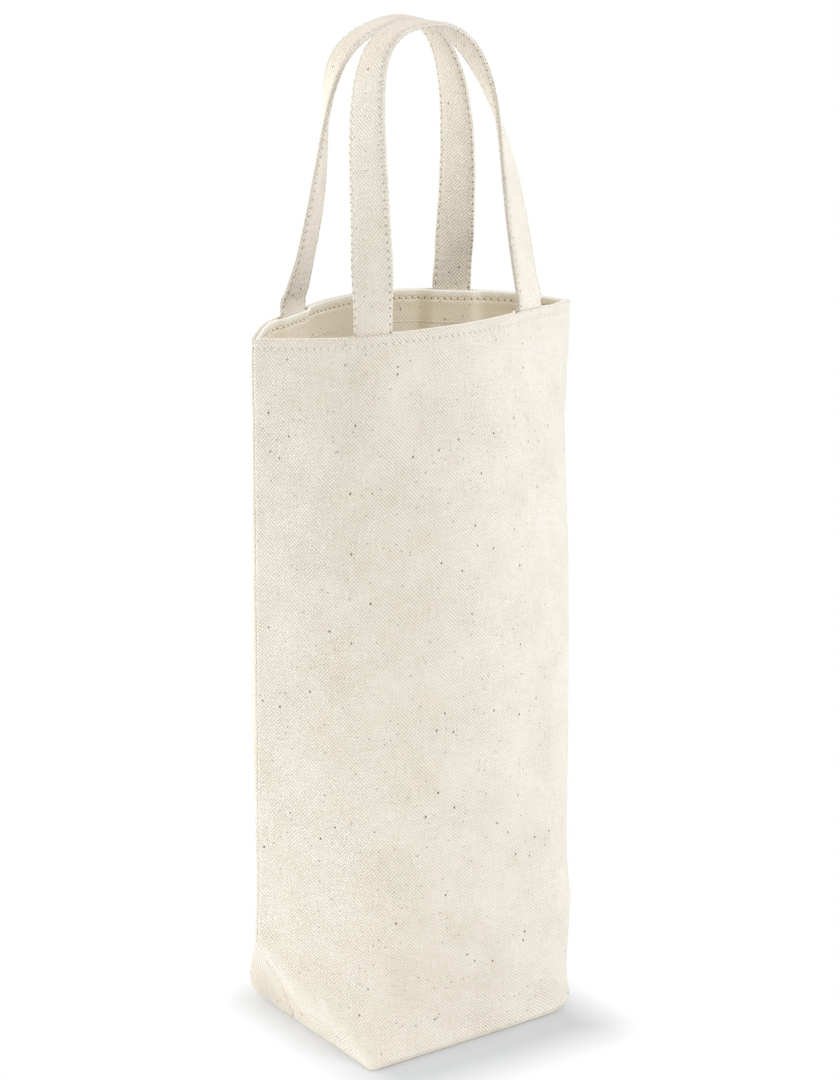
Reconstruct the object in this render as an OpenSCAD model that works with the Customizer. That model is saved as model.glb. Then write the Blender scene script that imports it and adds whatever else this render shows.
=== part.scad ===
/* [Bag] */
// Width of the base, left edge to right edge
base_w = 93; // [84:1:104]
// Depth of the base, front edge to back edge
base_d = 82; // [72:1:90]
// Height of the mouth at the side seams
bag_h = 268; // [230:1:320]
// Extra height of the mouth half way between the side seams
mouth_rise = 4; // [0:0.5:8]
// Width of the bag from side seam to side seam
seam_span = 140; // [128:1:152]
// How far the mouth bulges forward of the side seams
mouth_front = 35; // [28:1:40]
// How far the mouth bulges back from the side seams
mouth_back = 38; // [30:1:42]
// How far the belly bulges from the side seams, front and back
belly = 43; // [38:1:48]
// Height of the peak of the left corner creases
crease_h = 43; // [34:1:60]
// Radius of the soft fold round the bottom edge
fold_r = 3; // [2:0.5:5]

/* [Cloth] */
// Thickness of the twill
cloth_t = 0.8; // [0.6:0.1:1]
// Depth of the facing inside the mouth
facing_h = 25; // [22:1:40]
// Width of the overlocked seam allowances
seam_w = 8; // [5:1:10]

/* [Handles] */
// Width of the folded strap
strap_w = 16; // [12:1:20]
// Thickness of the folded strap
strap_t = 2; // [1.4:0.1:2.4]
// Length of each strap end that is sewn in below the mouth
tuck = 19; // [14:1:20]
// Distance between the legs of a handle, measured along the mouth
leg_gap = 86; // [76:1:96]
// How far both legs sit to the right of the panel's middle, seen from outside
leg_shift = 4; // [0:0.5:6]
// Height of the handle's crown above the mouth
handle_rise = 103; // [80:1:130]
// Height of the fold line of a handle above the mouth
fold_h = 3; // [2:0.5:5]

/* [Hidden] */

// Gap left between two layers that are sewn together
layer_gap = 0.2;
// Gap between the tucked strap end and the loop above the fold line
fold_gap = 0.8;
// Share of the way that the strap has turned, at the fold line, to face along that line
fold_turn = 0.5;
// Width over which the facing rises beside a strap end
facing_ease = 9;
// Height at which a side seam's allowance starts, above the corner seam
seam_start = 4.5;

// Cloth measured along one panel, from side seam to side seam
panel_w = base_w + base_d;

facet_cols = 5;
face_cols = 22;
fold_rows = 2;
crease_rows = 5;
wall_rows = 9;
strap_rings = 22;
// How soon the rings of a loop, level at the foot, stand square to the strap
foot_ease = 8;

// Half outlines at four heights: shares of half the seam span and of the bulge
base_corner_shares = [0.87, 0.985, 0.76];
low_shares = [[-1, 0], [-0.82, 0.41], [-0.6, 0.745], [-0.32, 0.945], [-0.015, 1],
    [0.295, 0.99], [0.605, 0.91], [0.775, 0.52], [0.735, 0]];
mid_shares = [[-1, 0], [-0.84, 0.43], [-0.625, 0.75], [-0.345, 0.925], [-0.045, 0.96],
    [0.265, 0.9], [0.56, 0.735], [0.83, 0.43], [0.915, 0]];
front_mouth_shares = [[-1, 0], [-0.845, 0.5], [-0.645, 0.875], [-0.36, 0.98], [-0.065, 0.99],
    [0.22, 0.85], [0.48, 0.61], [0.77, 0.35], [1, 0]];
back_mouth_shares = [[-1, 0], [-0.79, 0.4], [-0.53, 0.64], [-0.265, 0.87], [0.03, 1],
    [0.32, 0.94], [0.575, 0.725], [0.82, 0.44], [1, 0]];
// Height of the mid outline, as a share of the height from crease to mouth
mid_h_share = 0.47;

// Handle curves: each leg's pull and the crown, as shares of the leg gap and of the rise
front_leg_shares = [[0.04, 0.07, 0.5], [-0.055, 0.08, 0.32]];
back_leg_shares = [[0.1, 0.12, 0.62], [-0.01, 0.06, 0.55]];
front_crown_shares = [-0.04, 0.085, 0.4, 0.28, -15, -0.17];
back_crown_shares = [0.02, 0.09, 0.38, 0.4, 0, 0.15];
// How soon each leg turns its face from the panel to the side, low numbers turn early
front_turn_shares = [0.5, 1.35];
back_turn_shares = [1.35, 0.5];

cloth_color = "#EFE9DA";
facing_color = "#E6DAC0";
strap_color = "#E9E2D0";

function lerp(a, b, t) = a + (b - a) * t;
function clamp(v) = max(0, min(1, v));
function smooth(v) = v * v * (3 - 2 * v);
function unit(v) = v / norm(v);
function quad(a, b, c, m, t) =
    a * (t - m) * (t - 1) / m + b * t * (t - 1) / (m * (m - 1)) + c * t * (t - m) / (1 - m);
function bez(a, b, c, d, t) =
    a * pow(1 - t, 3) + 3 * b * t * pow(1 - t, 2) + 3 * c * t * t * (1 - t) + d * pow(t, 3);

// Smooth curve through a list of points, t from 0 to 1
function spline(p, t) =
    let (
        n = len(p) - 1,
        i = min(floor(t * n), n - 1),
        f = t * n - i,
        b = p[i],
        c = p[i + 1],
        a = i > 0 ? p[i - 1] : 2 * b - c,
        d = i < n - 1 ? p[i + 2] : 2 * c - b
    )
    b + (c - a) * f / 2 + (2 * a - 5 * b + 4 * c - d) * f * f / 2
        + (3 * b - a - 3 * c + d) * pow(f, 3) / 2;

// The base outline of one panel, from the left corner round to the right seam.
// side is -1 for the front panel and 1 for the back panel.
function base_points(side) =
    let (w = base_w / 2, d = side * base_d / 2, round_share = base_corner_shares)
    concat(
        [for (k = [0:4]) [lerp(-w, w * round_share[0], k / 5), d]],
        [[w * round_share[0], d * round_share[1]], [w * round_share[1], d * round_share[2]],
            [w, d * round_share[2] / 2], [w, 0]]
    );

function level_points(shares, side, bulge) =
    [for (s = shares) [s[0] * seam_span / 2, side * s[1] * bulge]];

// Points that the cloth passes through at height z, leaving out the left facet
function outline(side, z) =
    let (
        a = clamp((z - fold_r) / (crease_h - fold_r)),
        b = (z - crease_h) / (bag_h - crease_h),
        mouth = side < 0 ? level_points(front_mouth_shares, side, mouth_front)
            : level_points(back_mouth_shares, side, mouth_back),
        low = level_points(low_shares, side, belly),
        mid = level_points(mid_shares, side, belly),
        base = base_points(side)
    )
    [for (k = [0:len(base) - 1])
        z < crease_h ? lerp(base[k], low[k], a) : quad(low[k], mid[k], mouth[k], mid_h_share, b)];

// Left end of the seam line at height z
function seam_point(z) =
    [-lerp(base_w, seam_span, clamp((z - fold_r) / (crease_h - fold_r))) / 2, 0];

cols = concat(
    [for (k = [0:facet_cols]) base_d / 2 * k / facet_cols],
    [for (k = [1:face_cols]) lerp(base_d / 2, panel_w, k / face_cols)]
);

// One row of the panel's outer face in plan, a point for each column
function row(side, z) =
    let (
        facet = base_d / 2 * (1 - clamp((z - fold_r) / (crease_h - fold_r))),
        p = outline(side, z)
    )
    [for (q = cols)
        q < facet ? lerp(seam_point(z), p[0], q / facet)
            : spline(p, clamp((q - facet) / (panel_w - facet)))];

// Direction into the bag, square to each length of a row
function normals(side, p) =
    [for (k = [0:len(p) - 2]) side * unit([p[k + 1][1] - p[k][1], p[k][0] - p[k + 1][0]])];

// Direction and length of a parallel shift into the bag at each point of a row
function inward(side, p) =
    let (n = len(p) - 1, e = normals(side, p))
    [for (k = [0:n])
        k == 0 ? [1 / e[0][0], 0]
            : k == n ? [1 / e[n - 1][0], 0]
            : (e[k - 1] + e[k]) / (1 + e[k - 1] * e[k])];

function shift(side, p, depth) =
    let (v = inward(side, p))
    [for (k = [0:len(p) - 1]) p[k] + v[k] * (is_list(depth) ? depth[k] : depth)];

// Extra height at a column, because the mouth stands highest in its middle
function rise(z, q) =
    mouth_rise * (1 - pow(2 * q / panel_w - 1, 2)) * pow(z / bag_h, 2);

// A row at height z of a layer that lies the given depth inside the panel's outer face
function layer(side, z, depth) =
    let (p = shift(side, row(side, z), depth))
    [for (k = [0:len(cols) - 1]) [p[k][0], p[k][1], z + rise(z, cols[k])]];

// A row on the rounded bottom fold, turn 90 degrees under the base and 0 on the wall
function fold_layer(side, turn, depth) =
    let (
        inset = fold_r - (fold_r - depth) * cos(turn),
        p = shift(side, row(side, 0), inset)
    )
    [for (v = p) [v[0], v[1], fold_r - (fold_r - depth) * sin(turn)]];

// Point on a layer at the cloth measure q
function along(line, q) =
    let (
        k = max([for (i = [0:len(cols) - 2]) cols[i] <= q ? i : 0])
    )
    lerp(line[k], line[k + 1], (q - cols[k]) / (cols[k + 1] - cols[k]));

// Closed sheet from an outer and an inner grid of points, rows from low to high
module sheet(side, outer, inner) {
    rows = len(outer);
    n = len(outer[0]);
    points = concat([for (r = outer) each r], [for (r = inner) each r]);
    function o(j, i) = j * n + i;
    function m(j, i) = (rows + j) * n + i;
    faces = concat(
        [for (j = [0:rows - 2]) for (i = [0:n - 2]) each [
            [o(j, i), o(j + 1, i), o(j, i + 1)],
            [o(j, i + 1), o(j + 1, i), o(j + 1, i + 1)],
            [m(j, i), m(j, i + 1), m(j + 1, i)],
            [m(j, i + 1), m(j + 1, i + 1), m(j + 1, i)]
        ]],
        [for (i = [0:n - 2]) each [
            [o(rows - 1, i), m(rows - 1, i), o(rows - 1, i + 1)],
            [o(rows - 1, i + 1), m(rows - 1, i), m(rows - 1, i + 1)]
        ]],
        [for (j = [0:rows - 2]) each [
            [o(j, 0), m(j, 0), o(j + 1, 0)],
            [o(j + 1, 0), m(j, 0), m(j + 1, 0)],
            [o(j, n - 1), o(j + 1, n - 1), m(j, n - 1)],
            [o(j + 1, n - 1), m(j + 1, n - 1), m(j, n - 1)]
        ]],
        [for (i = [0:n - 2]) each [
            [o(0, i), o(0, i + 1), m(0, i)],
            [o(0, i + 1), m(0, i + 1), m(0, i)]
        ]]
    );
    polyhedron(points, side < 0 ? faces : [for (f = faces) [for (k = [len(f) - 1:-1:0]) f[k]]]);
}

wall_heights = concat(
    [for (j = [0:crease_rows - 1]) lerp(fold_r, crease_h, j / crease_rows)],
    [for (j = [0:wall_rows]) lerp(crease_h, bag_h, j / wall_rows)]
);

module panel(side) {
    function rows_at(depth) = concat(
        [for (j = [0:fold_rows - 1]) fold_layer(side, 90 * (1 - j / fold_rows), depth)],
        [for (z = wall_heights) layer(side, z, depth)]
    );
    sheet(side, rows_at(0), rows_at(cloth_t));
    linear_extrude(cloth_t)
        polygon([for (v = fold_layer(side, 90, 0)) [v[0], v[1]]]);
}

// Cloth measures of the two legs of a handle, left leg first
function legs(side) = [for (s = [-1, 1]) panel_w / 2 + s * leg_gap / 2 - side * leg_shift];

// How far the facing stands off the panel at each column, over the strap ends
function facing_depths(side, over_strap) =
    let (flat = strap_w / 2 + panel_w / len(cols), step = strap_t + layer_gap)
    [for (q = cols)
        let (far = min([for (leg = legs(side)) abs(q - leg)]))
        cloth_t + layer_gap + over_strap * step * smooth(clamp(1 - (far - flat) / facing_ease))];

module facing(side) {
    heights = [bag_h - facing_h, bag_h - tuck - strap_t, bag_h - tuck / 2, bag_h];
    over = [0, 1, 1, 1];
    outer = [for (k = [0:3]) layer(side, heights[k], facing_depths(side, over[k]))];
    inner = [for (k = [0:3])
        layer(side, heights[k], [for (d = facing_depths(side, over[k])) d + cloth_t])];
    sheet(side, outer, inner);
}

// Standing allowance of a side seam: end is 0 on the left and 1 on the right
module side_seam(end) {
    top = bag_h - facing_h - layer_gap;
    heights = concat([seam_start], [for (z = wall_heights) if (z > seam_start && z < top) z], [top]);
    into = end == 0 ? 1 : -1;
    last = len(cols) - 1;
    // Room that the panel needs in the corner, before the allowance's own thickness fits
    function room(side, z) =
        let (e = normals(side, row(side, z))[end * (last - 1)])
        (cloth_t + layer_gap + cloth_t * abs(e[1])) / abs(e[0]);
    function edge(z) = row(-1, z)[end * last][0] + into * max(room(-1, z), room(1, z));
    function ring(z) = let (x = edge(z)) [
        [x, -cloth_t, z], [x + into * seam_w, -cloth_t, z],
        [x + into * seam_w, cloth_t, z], [x, cloth_t, z]
    ];
    tube([for (z = heights) ring(z)], into);
}

// Closed solid through rings of points, dir 1 where they run anticlockwise seen from the end
module tube(rings, dir) {
    n = len(rings[0]);
    m = len(rings);
    function at(j, i) = j * n + i % n;
    faces = concat(
        [for (j = [0:m - 2]) for (i = [0:n - 1]) each [
            [at(j, i), at(j + 1, i), at(j, i + 1)],
            [at(j, i + 1), at(j + 1, i), at(j + 1, i + 1)]
        ]],
        [[for (i = [0:n - 1]) at(0, i)], [for (i = [n - 1:-1:0]) at(m - 1, i)]]
    );
    polyhedron([for (r = rings) each r],
        dir > 0 ? faces : [for (f = faces) [for (k = [len(f) - 1:-1:0]) f[k]]]);
}

// Flat allowance on the base, its ends cut at a slant
module flat_seam(length) {
    slant = seam_w / 4;
    translate([0, 0, cloth_t + layer_gap])
        linear_extrude(2 * cloth_t)
            polygon([[-length / 2, 0], [length / 2, 0], [length / 2 - slant, seam_w],
                [-length / 2 + slant, seam_w]]);
}

module corner_seam(dir) {
    translate([dir * (base_w / 2 - fold_r), 0, 0])
        rotate([0, 0, dir * 90])
            flat_seam(base_d - 4 * fold_r);
}

// Middle line of the tucked strap at a leg, height z above the base
function strap_mid(side, leg, z) =
    along(layer(side, z, cloth_t + layer_gap + strap_t / 2), legs(side)[leg]);

module handle_end(side, leg) {
    heights = [bag_h - tuck, bag_h, bag_h + fold_h - fold_gap / 2];
    near = cloth_t + layer_gap;
    low = leg - strap_w / 2;
    high = leg + strap_w / 2;
    measures = concat([low], [for (q = cols) if (q > low + cloth_t && q < high - cloth_t) q], [high]);
    function rows_at(depth) =
        [for (z = heights) let (line = layer(side, z, depth))
            [for (q = measures) let (p = along(line, q)) [p[0], p[1], z + rise(z, leg)]]];
    sheet(side, rows_at(near), rows_at(near + strap_t));
}

module handle_ends(side) {
    for (leg = legs(side)) handle_end(side, leg);
}

// Direction of the mouth in plan at a leg, from left to right
function mouth_angle(side, leg) =
    let (
        line = layer(side, bag_h, cloth_t),
        q = legs(side)[leg],
        v = along(line, q + strap_w / 2) - along(line, q - strap_w / 2)
    )
    atan2(v[1], v[0]);

// Handle loop: two cubic curves from the legs to the crown, the strap turning as it rises
module loop(side) {
    leg_shares = side < 0 ? front_leg_shares : back_leg_shares;
    crown_shares = side < 0 ? front_crown_shares : back_crown_shares;
    turn_shares = side < 0 ? front_turn_shares : back_turn_shares;
    start = [for (leg = [0, 1]) strap_mid(side, leg, bag_h + fold_h + fold_gap / 2)];
    pull = [for (leg = [0, 1])
        [leg_shares[leg][0] * leg_gap, -side * leg_shares[leg][1] * leg_gap,
            leg_shares[leg][2] * handle_rise]];
    middle = (start[0] + start[1]) / 2;
    crown = [middle[0] + crown_shares[0] * leg_gap, middle[1] - side * crown_shares[1] * leg_gap,
        bag_h + mouth_rise + handle_rise];
    lead = [cos(crown_shares[4]), sin(crown_shares[4]), crown_shares[5]];
    apart = start[1] - start[0];
    fold_angle = atan2(apart[1], apart[0]);
    function mid(t) = t < 0.5
        ? bez(start[0], start[0] + pull[0], crown - lead * crown_shares[2] * leg_gap, crown, 2 * t)
        : bez(crown, crown + lead * crown_shares[3] * leg_gap, start[1] + pull[1], start[1],
            2 * t - 1);
    function angle(t) =
        let (
            leg = t < 0.5 ? 0 : 1,
            up = 1 - abs(2 * t - 1),
            foot = lerp(mouth_angle(side, leg), fold_angle, fold_turn)
                - ((leg == 0) == (side < 0) ? 0 : 180)
        )
        lerp(foot, -90, smooth(pow(clamp(up), turn_shares[leg])));
    step = 1 / (2 * strap_rings);
    function ring(t) =
        let (
            up = 1 - abs(2 * t - 1),
            aim = unit(mid(min(1, t + step / 4)) - mid(max(0, t - step / 4))),
            run = unit(lerp([0, 0, t < 0.5 ? 1 : -1], aim, smooth(clamp(up * foot_ease)))),
            turned = angle(t),
            flat = [cos(turned), sin(turned), 0],
            across = unit(flat - (flat * run) * run),
            out = cross(run, across),
            c = mid(t),
            w = strap_w / 2,
            h = strap_t / 2
        )
        [c + w * across, c + (w - h) * across + h * out, c - (w - h) * across + h * out,
            c - w * across, c - (w - h) * across - h * out, c + (w - h) * across - h * out];
    tube([for (k = [0:2 * strap_rings]) ring(k * step)], 1);
}

module front_panel() { color(cloth_color) panel(-1); }
module back_panel() { color(cloth_color) panel(1); }
module front_facing() { color(facing_color) facing(-1); }
module back_facing() { color(facing_color) facing(1); }
module left_side_seam() { color(facing_color) side_seam(0); }
module right_side_seam() { color(facing_color) side_seam(1); }
module base_seam() { color(facing_color) flat_seam(base_w - 2 * fold_r - 2 * seam_w - 2 * layer_gap); }
module left_corner_seam() { color(facing_color) corner_seam(-1); }
module right_corner_seam() { color(facing_color) corner_seam(1); }
module front_handle_ends() { color(strap_color) handle_ends(-1); }
module back_handle_ends() { color(strap_color) handle_ends(1); }
module front_handle() { color(strap_color) loop(-1); }
module back_handle() { color(strap_color) loop(1); }

front_panel();
back_panel();
front_facing();
back_facing();
left_side_seam();
right_side_seam();
base_seam();
left_corner_seam();
right_corner_seam();
front_handle_ends();
back_handle_ends();
front_handle();
back_handle();
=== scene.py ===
import math
import random

import bmesh
import bpy
import numpy as np
from mathutils import Matrix, Vector, noise


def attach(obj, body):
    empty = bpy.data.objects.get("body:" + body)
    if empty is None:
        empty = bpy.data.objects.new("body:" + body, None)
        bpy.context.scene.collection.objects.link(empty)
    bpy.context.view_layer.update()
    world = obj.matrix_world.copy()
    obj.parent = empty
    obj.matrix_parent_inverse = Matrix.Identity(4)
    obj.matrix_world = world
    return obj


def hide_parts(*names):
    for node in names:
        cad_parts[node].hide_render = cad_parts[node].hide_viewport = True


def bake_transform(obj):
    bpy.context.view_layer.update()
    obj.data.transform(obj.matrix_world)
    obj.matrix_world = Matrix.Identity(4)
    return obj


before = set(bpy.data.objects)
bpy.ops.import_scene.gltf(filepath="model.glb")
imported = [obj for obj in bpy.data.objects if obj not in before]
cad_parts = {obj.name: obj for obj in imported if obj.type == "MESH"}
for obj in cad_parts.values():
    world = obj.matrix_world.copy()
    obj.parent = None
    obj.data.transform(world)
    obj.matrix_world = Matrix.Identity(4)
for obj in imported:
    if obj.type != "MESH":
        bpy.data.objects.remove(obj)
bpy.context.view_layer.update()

scene = bpy.context.scene
mm = 0.001
front = -1
back = 1

# in millimetres and degrees
cameraSet = {"turn": 35.5, "distance": 915.7, "height": 440.5, "tilt": 15.57, "yaw": 0.1,
             "roll": 0.5, "lens": 86.0, "sensor": 36.0}


def makeCamera():
    turn = math.radians(cameraSet["turn"])
    aim = turn + math.radians(cameraSet["yaw"])
    tilt = math.radians(cameraSet["tilt"])
    roll = math.radians(cameraSet["roll"])
    flat = math.cos(tilt)
    ahead = Vector((math.sin(aim) * flat, math.cos(aim) * flat, -math.sin(tilt)))
    level = Vector((math.cos(aim), -math.sin(aim), 0))
    above = level.cross(ahead)
    across = level * math.cos(roll) + above * math.sin(roll)
    upward = above * math.cos(roll) - level * math.sin(roll)
    far = cameraSet["distance"]
    place = Vector((-math.sin(turn) * far, -math.cos(turn) * far, cameraSet["height"])) * mm
    data = bpy.data.cameras.new("camera")
    data.lens = cameraSet["lens"]
    data.sensor_width = cameraSet["sensor"]
    data.clip_start = 0.01
    camera = bpy.data.objects.new("camera", data)
    camera.matrix_world = Matrix((
        (across.x, upward.x, -ahead.x, place.x), (across.y, upward.y, -ahead.y, place.y),
        (across.z, upward.z, -ahead.z, place.z), (0, 0, 0, 1)))
    scene.collection.objects.link(camera)
    scene.camera = camera


makeCamera()
print("camera placed")

# the sewn shape, every length in millimetres; outlines are shares of the span and of the bulge
bagSet = {
    "baseWidth": 93, "baseDepth": 82, "height": 268, "mouthRise": 4, "span": 140,
    "frontBulge": 35, "backBulge": 38, "belly": 43, "creaseHeight": 43, "foldRadius": 3,
    "cloth": 0.8, "gap": 0.2, "panelWidth": 175, "midShare": 0.47,
    "rimStitch": 3.25, "lowStitch": 12.0,
    "baseCorner": (0.87, 0.985, 0.76),
    "low": ((-1, 0), (-0.82, 0.41), (-0.6, 0.745), (-0.32, 0.945), (-0.015, 1),
            (0.295, 0.99), (0.605, 0.91), (0.775, 0.52), (0.735, 0)),
    "mid": ((-1, 0), (-0.84, 0.43), (-0.625, 0.75), (-0.345, 0.925), (-0.045, 0.96),
            (0.265, 0.9), (0.56, 0.735), (0.83, 0.43), (0.915, 0)),
    "frontMouth": ((-1, 0), (-0.845, 0.5), (-0.645, 0.875), (-0.36, 0.98), (-0.065, 0.99),
                   (0.22, 0.85), (0.48, 0.61), (0.77, 0.35), (1, 0)),
    "backMouth": ((-1, 0), (-0.79, 0.4), (-0.53, 0.64), (-0.265, 0.87), (0.03, 1),
                  (0.32, 0.94), (0.575, 0.725), (0.82, 0.44), (1, 0)),
    "cornerSoftness": 9.0,  # how widely the front cloth rounds over the left gusset
    "softness": 1.0,        # how widely any crease is rounded
    "sampleStep": 0.5,
}


def lerp(a, b, t):
    return a + (b - a) * t


def clamp(v):
    return np.clip(v, 0.0, 1.0)


def smooth(v):
    v = clamp(v)
    return v * v * (3 - 2 * v)


def bell(v, width):
    return np.exp(-0.5 * (v / width) ** 2)


def unitRows(v):
    return v / np.linalg.norm(v, axis=1)[:, None]


def runLength(points):
    return np.concatenate([[0], np.cumsum(np.linalg.norm(np.diff(points, axis=0), axis=1))])


def throughThree(a, b, c, m, t):
    return a * (t - m) * (t - 1) / m + b * t * (t - 1) / (m * (m - 1)) + c * t * (t - m) / (1 - m)


def cubic(a, b, c, d, t):
    t = np.asarray(t)[..., None]
    return a * (1 - t) ** 3 + 3 * b * t * (1 - t) ** 2 + 3 * c * t * t * (1 - t) + d * t ** 3


def splineAt(points, t):
    n = len(points) - 1
    t = clamp(t)
    i = np.minimum(np.floor(t * n).astype(int), n - 1)
    f = (t * n - i)[:, None]
    longer = np.vstack([2 * points[0] - points[1], points, 2 * points[n] - points[n - 1]])
    a, b, c, d = longer[i], longer[i + 1], longer[i + 2], longer[i + 3]
    return (b + (c - a) * f / 2 + (2 * a - 5 * b + 4 * c - d) * f ** 2 / 2
            + (3 * b - a - 3 * c + d) * f ** 3 / 2)


def basePoints(side):
    w, d = bagSet["baseWidth"] / 2, side * bagSet["baseDepth"] / 2
    near, mid, far = bagSet["baseCorner"]
    points = [(lerp(-w, w * near, k / 5), d) for k in range(5)]
    points += [(w * near, d * mid), (w * mid, d * far), (w, d * far / 2), (w, 0)]
    return np.array(points)


def gussetShare(z):
    # from 0 at the fold round the base to 1 where the gusset ends
    return clamp((z - bagSet["foldRadius"]) / (bagSet["creaseHeight"] - bagSet["foldRadius"]))


def outlineOf(name, side, bulge):
    return np.array(bagSet[name]) * (bagSet["span"] / 2, side * bagSet[bulge])


def outlineAt(side, z):
    low, crease = outlineOf("low", side, "belly"), bagSet["creaseHeight"]
    if z < crease:
        return lerp(basePoints(side), low, gussetShare(z))
    mid = outlineOf("mid", side, "belly")
    word = "front" if side == front else "back"
    mouth = outlineOf(word + "Mouth", side, word + "Bulge")
    share = (z - crease) / (bagSet["height"] - crease)
    return throughThree(low, mid, mouth, bagSet["midShare"], share)


def facetWidth(z):
    return bagSet["baseDepth"] / 2 * (1 - gussetShare(z))


def seamLine(z):
    return -lerp(bagSet["baseWidth"], bagSet["span"], gussetShare(z)) / 2


# the full right corner, the crease beside the left gusset, the back, and the left seam's drift
lowSet = {
    "cornerOut": 6.8, "cornerBack": 2.5, "cornerFrom": 15.0, "cornerSpan": 30.0,
    "creaseLevels": (0, 1.7, 5.5, 14, 20, 28, 34, 43),
    "creaseMeasures": (34, 26, 18, 16, 13, 12, 6, 1),
    "ridge": 2.4, "ridgeWidth": 9.0, "ridgeRound": 0.7, "backOut": 1.9,
    "driftLevels": (0, 6, 18, 29, 39, 60), "drift": (14.0, 12.5, 7.0, 4.5, 1.8, 0),
}


def lowShape(side, points, z):
    # how the cloth stands near the base: fuller at the right corner, creased beside the left gusset
    moved = np.zeros_like(points)
    if side == front:
        level = smooth((z + 2.5) / 6.5) * (1 - smooth((z - 18) / 50))
        share = clamp((points[:, 0] - lowSet["cornerFrom"]) / lowSet["cornerSpan"])
        share = share * (1 - smooth((sampleQ - 138) / 34))
        moved[:, 0] = lowSet["cornerOut"] * level * share
        moved[:, 1] = lowSet["cornerBack"] * level * share
        at = np.interp(z, lowSet["creaseLevels"], lowSet["creaseMeasures"])
        far = np.sqrt((sampleQ - at) ** 2 + lowSet["ridgeRound"] ** 2)
        high = lowSet["ridge"] * smooth((z + 0.5) / 4.5) * (1 - smooth((z - 30) / 13))
        reach = np.where(sampleQ < at, min(at, lowSet["ridgeWidth"]) + 0.01, lowSet["ridgeWidth"])
        ridge = high * clamp(1 - far / reach)
        along = np.gradient(points, axis=0)
        along /= np.linalg.norm(along, axis=1)[:, None] + 1e-9
        moved += np.stack([along[:, 1], -along[:, 0]], 1) * ridge[:, None]
    else:
        level = smooth(z / 5) * (1 - smooth((z - 12) / 26))
        share = smooth((sampleQ - 4) / 26) * (1 - smooth((sampleQ - 45) / 30))
        moved[:, 0] = -lowSet["backOut"] * level * share
    return moved


sampleQ = np.arange(0, bagSet["panelWidth"] + 0.01, bagSet["sampleStep"])
rowCache = {}


def blurred(points, width):
    # the other panel continues this one past each seam, so it is mirrored there
    reach = int(4 * width / bagSet["sampleStep"])
    if reach < 1:
        return points
    flip = np.array((1, -1))
    longer = np.vstack([points[reach:0:-1] * flip, points, points[-2:-reach - 2:-1] * flip])
    k = bell(np.arange(-reach, reach + 1) * bagSet["sampleStep"], width)
    k /= k.sum()
    return np.stack([np.convolve(longer[:, c], k, "valid") for c in (0, 1)], 1)


def rowAt(side, z):
    # one level line of a panel's outer face: points and the directions into the bag
    key = (side, round(z, 3))
    if key in rowCache:
        return rowCache[key]
    facet = facetWidth(z)
    outline = outlineAt(side, z)
    rest = clamp((sampleQ - facet) / (bagSet["panelWidth"] - facet))
    points = splineAt(outline, rest)
    if facet > 0:
        inFacet = sampleQ < facet
        share = (sampleQ / facet)[:, None]
        flat = np.array((seamLine(z), 0)) * (1 - share) + outline[0] * share
        points[inFacet] = flat[inFacet]
    points[:, 1] = side * np.abs(points[:, 1])
    soft = blurred(points, bagSet["softness"])
    if side == front:
        # the front cloth rounds over the left gusset and ends in a sharper fold above it
        rounding = smooth((z - 0.5) / 5) * (1 - smooth((z - 30) / 22))
        if rounding > 0:
            wide = blurred(points, 0.6 + bagSet["cornerSoftness"] * rounding)
            share = (1 - smooth((sampleQ - 45) / 30))[:, None]
            soft = lerp(soft, wide, share)
    for end, at in ((0, seamLine(z)), (-1, outline[-1][0])):
        # both panels meet on one seam line
        far = sampleQ if end == 0 else bagSet["panelWidth"] - sampleQ
        soft[:, 0] += (at - soft[end, 0]) * np.exp(-far / 8)
    soft = soft + lowShape(side, soft, z)
    soft[0, 1] = soft[-1, 1] = 0
    along = unitRows(np.gradient(soft, axis=0))
    inward = side * np.stack([along[:, 1], -along[:, 0]], 1)
    inward[0] = (1, 0)
    inward[-1] = (-1, 0)
    rowCache[key] = soft, inward
    return rowCache[key]


def atMeasures(q, values):
    # a level line's two columns, read at cloth measures q
    return np.stack([np.interp(q, sampleQ, values[:, c]) for c in (0, 1)], 1)


def fromSeam(q):
    return np.minimum(q, bagSet["panelWidth"] - q)


def riseAt(z, q):
    # the rim is highest half way between the side seams
    across = 1 - (2 * q / bagSet["panelWidth"] - 1) ** 2
    return bagSet["mouthRise"] * across * (z / bagSet["height"]) ** 2


swellSet = {
    "amount": 0.8, "across": 46.0, "up": 80.0, "seed": 3.7,
    # measure from the left seam, height, half widths across and up, and how far it stands out
    front: ((72, 60, 24, 32, 3.0), (84, 200, 24, 34, 2.0), (30, 128, 14, 26, -1.6),
            (80, 128, 22, 30, 1.3), (112, 120, 14, 46, -1.0), (46, 236, 10, 12, 1.0),
            (62, 243, 22, 7, -0.7), (20, 165, 9, 10, 0.8), (17, 142, 8, 7, -0.7)),
    back: ((60, 150, 30, 50, 1.5), (120, 90, 26, 40, -1.2)),
}


def swellAt(side, q, z):
    # how far the cloth stands out of the even shape at each measure q
    fade = smooth(q / 14) * smooth((bagSet["panelWidth"] - q) / 14)
    fade = fade * smooth((z - 4) / 25) * smooth((262 - z) / 30)
    up, seed = z / swellSet["up"], swellSet["seed"] + side * 5
    waves = [noise.noise(Vector((v / swellSet["across"], up, seed))) for v in q]
    out = swellSet["amount"] * np.array(waves)
    for at, height, wide, tall, far in swellSet[side]:
        out = out + far * bell(q - at, wide) * bell(z - height, tall)
    return out * fade


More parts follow.
